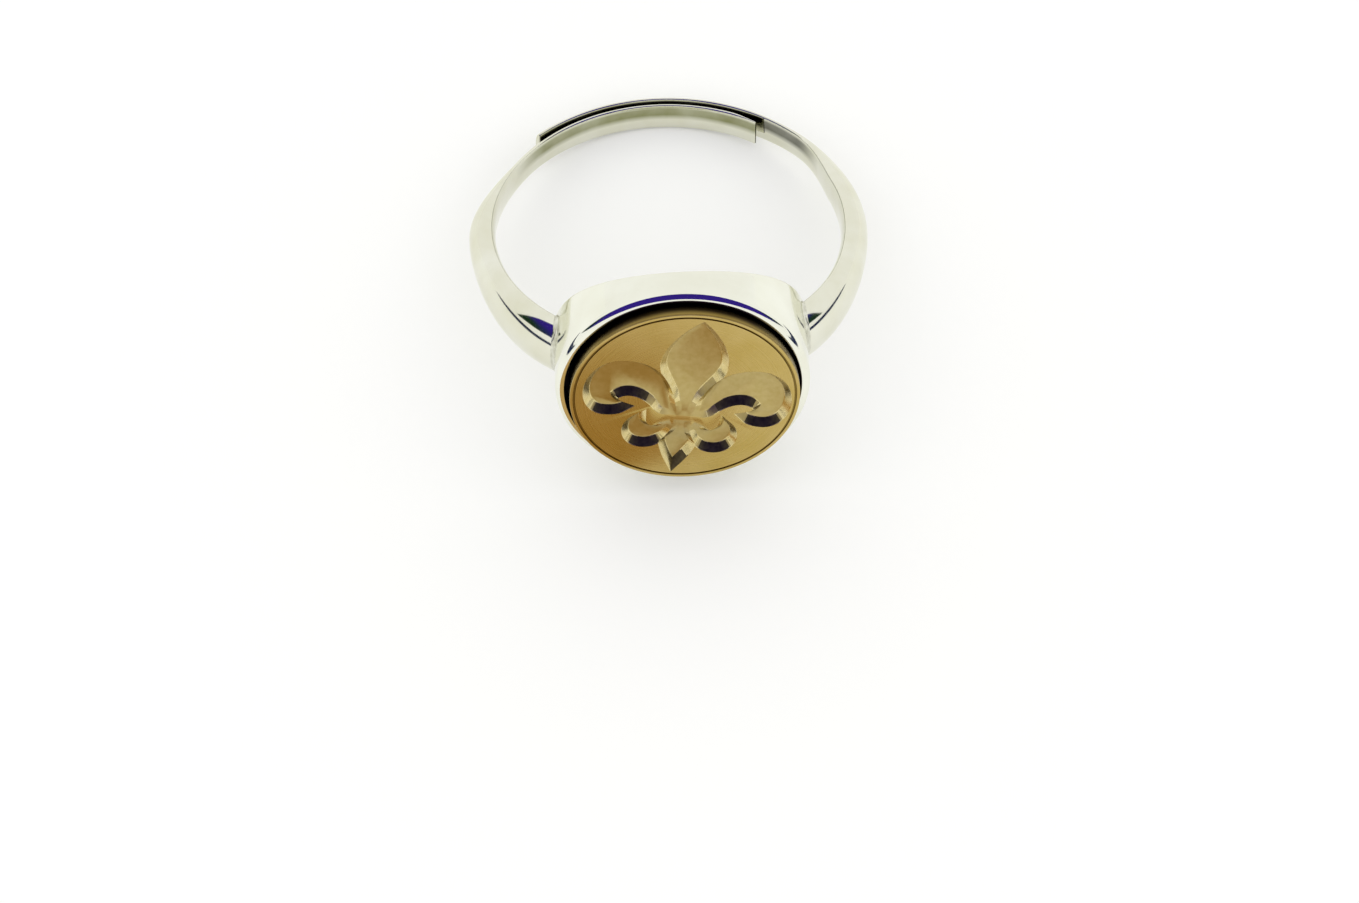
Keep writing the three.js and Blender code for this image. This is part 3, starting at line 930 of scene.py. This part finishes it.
def make_arms():
    """Both arms, each one strip from the cup to its end of the lap, and their solder."""
    tree = arm_tree()
    outer_leaf = HOLE_RADIUS + LEAF_THICKNESS + LEAF_CLEARANCE
    inner_tip = 180 + INNER_TIP_REACH
    over_tip = 180 - INNER_TIP_REACH - FLEX_TRAVEL - TIP_MARGIN
    under_end = 180 - OUTER_TIP_REACH - FLEX_TRAVEL - TIP_MARGIN
    left = {
        "Finish": ARM_SILVER,
        "Side": -1.0,
        "End": inner_tip,
        "Step": 0.0,
        "Step start": 100.0,
        "Step end": 120.0,
        "Leaf outer": HOLE_RADIUS + LEAF_THICKNESS,
        "Thin end": under_end,
        "Tip thinning": LEAF_THICKNESS - INNER_TIP_THICKNESS,
        "Tip start": inner_tip - TIP_TAPER,
    }
    right = {
        "Finish": ARM_SILVER,
        "Side": 1.0,
        "End": 180.0 + OUTER_TIP_REACH,
        "Step": LEAF_THICKNESS + LEAF_CLEARANCE,
        "Step start": over_tip - STEP_SPAN,
        "Step end": over_tip,
        "Leaf outer": outer_leaf + LEAF_THICKNESS,
        "Thin end": over_tip + THINNING_SPAN,
        "Tip thinning": 0.0,
        "Tip start": 100.0,
    }
    made = {}
    for side, sizes in (("left", left), ("right", right)):
        mesh = sweep_arm(tree, sizes)
        made[f"{side}_solder"] = make_fillet(f"{side}_solder", mesh)
        soften_tip(mesh)
        mesh.materials.clear()
        made[f"{side}_arm"] = piece_from(f"{side}_arm", mesh, [ARM_SILVER])
    return made


def soften_tip(mesh):
    """Rounds the edge of an arm's free end."""
    shape = bmesh.new()
    shape.from_mesh(mesh)
    shape.verts.ensure_lookup_table()
    last = {shape.verts[(ARM_STATIONS - 1) * SECTION_POINTS + j] for j in range(SECTION_POINTS)}
    edges = [e for e in shape.edges if e.verts[0] in last and e.verts[1] in last]
    bmesh.ops.bevel(shape, geom=edges, offset=TIP_ROUND, segments=4, profile=0.5, affect="EDGES")
    shape.to_mesh(mesh)
    shape.free()


# ---------------------------------------------------------------- studio


def stage_disc(name, centre, radius, material):
    """A flat round card that lies on the table, or the table itself; sizes in millimetres."""
    angles = np.linspace(0, 2 * math.pi, 96, endpoint=False)
    reach = radius * MM
    mesh = bpy.data.meshes.new(name)
    mesh.from_pydata([(reach * math.cos(a), reach * math.sin(a), 0) for a in angles], [], [range(96)])
    mesh.materials.append(material)
    card = bpy.data.objects.new(name, mesh)
    card.location = Vector(centre) * MM
    bpy.context.scene.collection.objects.link(card)
    return card


def glowing(name, hex_value):
    """A surface that gives off its own even colour."""
    material = bpy.data.materials.new(name)
    material.use_nodes = True
    tree = material.node_tree
    tree.nodes.clear()
    light = add_node(tree, "ShaderNodeEmission", {"Color": colour(hex_value), "Strength": 1})
    add_node(tree, "ShaderNodeOutputMaterial", {"Surface": light.outputs["Emission"]})
    return material


def make_camera():
    """The camera, aimed a little below the ring's centre."""
    azimuth, elevation = math.radians(CAMERA_AZIMUTH), math.radians(CAMERA_ELEVATION)
    back = Vector(
        (
            math.sin(azimuth) * math.cos(elevation),
            -math.cos(azimuth) * math.cos(elevation),
            math.sin(elevation),
        )
    )
    right = Vector((math.cos(azimuth), math.sin(azimuth), 0))
    up = back.cross(right)
    eye = back * CAMERA_DISTANCE
    aim = right * LOOK_RIGHT - up * LOOK_BELOW
    view = (eye - aim).normalized()
    side = up.cross(view).normalized()
    turned = Matrix((side, view.cross(side), view)).transposed()
    data = bpy.data.cameras.new("camera")
    data.lens = CAMERA_LENS
    data.sensor_width = 36
    data.clip_start, data.clip_end = 0.01, 20
    camera = bpy.data.objects.new("camera", data)
    camera.matrix_world = ring_frame @ Matrix.LocRotScale(eye * MM, turned.to_quaternion(), None)
    bpy.context.scene.collection.objects.link(camera)
    bpy.context.scene.camera = camera
    return (ring_frame.to_3x3() @ back).normalized()


def dim_room():
    """The room behind the camera: blue in the middle, and green-black far to both sides."""
    middle = "#33228A"
    distance = PATCH_DISTANCE * MM
    room = glowing("dim room", middle)
    tree = room.node_tree
    where = add_node(tree, "ShaderNodeTexCoord").outputs["Object"]
    sideways = add_node(tree, "ShaderNodeSeparateXYZ", {"Vector": where}).outputs["X"]
    reach = add_node(tree, "ShaderNodeMath", {0: sideways}, operation="ABSOLUTE").outputs[0]
    far = add_node(
        tree,
        "ShaderNodeMapRange",
        {"Value": reach, "From Min": distance * 0.8, "From Max": distance * 0.93},
    ).outputs["Result"]
    tint = add_node(
        tree,
        "ShaderNodeMix",
        {"Factor": far, 6: colour(middle), 7: colour("#1C3322")},
        data_type="RGBA",
    )
    tree.links.new(tint.outputs[2], tree.nodes["Emission"].inputs["Color"])
    return room


def dark_patch(to_camera):
    """Part of a dome behind the camera, seen only in the metal."""
    side = Vector((0, 0, 1)).cross(to_camera).normalized()
    up = to_camera.cross(side)
    distance = PATCH_DISTANCE * MM
    rings = []
    for share in np.linspace(0.12, 1, 9):
        ring = []
        for turn in np.linspace(0, 2 * math.pi, 72, endpoint=False):
            wide = math.copysign(abs(math.cos(turn)) ** PATCH_SQUARENESS, math.cos(turn))
            high = math.copysign(abs(math.sin(turn)) ** PATCH_SQUARENESS, math.sin(turn))
            across = math.radians(PATCH_SIDEWAYS * share * wide)
            rise = math.radians(PATCH_UPWARDS * share * high)
            level = to_camera * math.cos(rise) + up * math.sin(rise)
            ring.append((level * math.cos(across) + side * math.sin(across)) * distance)
        rings.append(ring)
    mesh = mesh_of_rings("dark patch", rings, first_point=to_camera * distance)
    mesh.materials.append(dim_room())
    patch = bpy.data.objects.new("dark patch", mesh)
    bpy.context.scene.collection.objects.link(patch)
    return patch


def hide_but_from_reflections(thing):
    """Leaves a studio thing to be seen in the metal only."""
    thing.visible_camera = False
    thing.visible_diffuse = False
    thing.visible_shadow = False


def make_studio(to_camera):
    """White light from all round, a pale table, and what the metal reflects but the camera doesn't see."""
    scene = bpy.context.scene
    scene.view_settings.view_transform = "Standard"
    world = bpy.data.worlds.new("white tent")
    scene.world = world
    world.use_nodes = True
    background = world.node_tree.nodes["Background"]
    background.inputs["Color"].default_value = (1, 1, 1, 1)
    background.inputs["Strength"].default_value = 1.0

    table = bpy.data.materials.new("table, lit from below")
    table.use_nodes = True
    shader = table.node_tree.nodes["Principled BSDF"]
    shader.inputs["Base Color"].default_value = colour("#F4F4F2")
    shader.inputs["Roughness"].default_value = 0.6
    shader.inputs["Specular IOR Level"].default_value = 0
    shader.inputs["Emission Color"].default_value = (1, 1, 1, 1)
    shader.inputs["Emission Strength"].default_value = 0.12
    stage_disc("table", (0, 0, 0), TABLE_RADIUS, table)

    hide_but_from_reflections(dark_patch(to_camera))
    warm = stage_disc("warm disc", WARM_CENTRE, WARM_RADIUS, glowing("warm disc", "#BE9C62"))
    hide_but_from_reflections(warm)
    for side in (-1, 1):
        centre = (side * MAT_SIDEWAYS, -MAT_FORWARDS, OVER_TABLE)
        mat = stage_disc("dark mat", centre, MAT_RADIUS, glowing("dark mat", "#222C4E"))
        hide_but_from_reflections(mat)


to_camera = make_camera()
make_studio(to_camera)

cup = make_cup()
die = make_die()
arms = make_arms()

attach(cup, "head")
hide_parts("bezel_cup")
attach(die, "head")
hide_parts("seal_die")
bed = frame["nodes"]["adhesive_bed"]
bed.data.materials.clear()
bed.data.materials.append(EPOXY)
arm_rows = (("left", -1, "left_leaf", "inner_leaf"), ("right", 1, "right_leaf", "outer_leaf"))
for side, sign, leaf, body in arm_rows:
    solder = arms[f"{side}_solder"]
    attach(solder, "head")
    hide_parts(f"{side}_solder_seam")
    arm = arms[f"{side}_arm"]
    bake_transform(arm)
    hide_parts(f"{side}_shoulder", leaf)
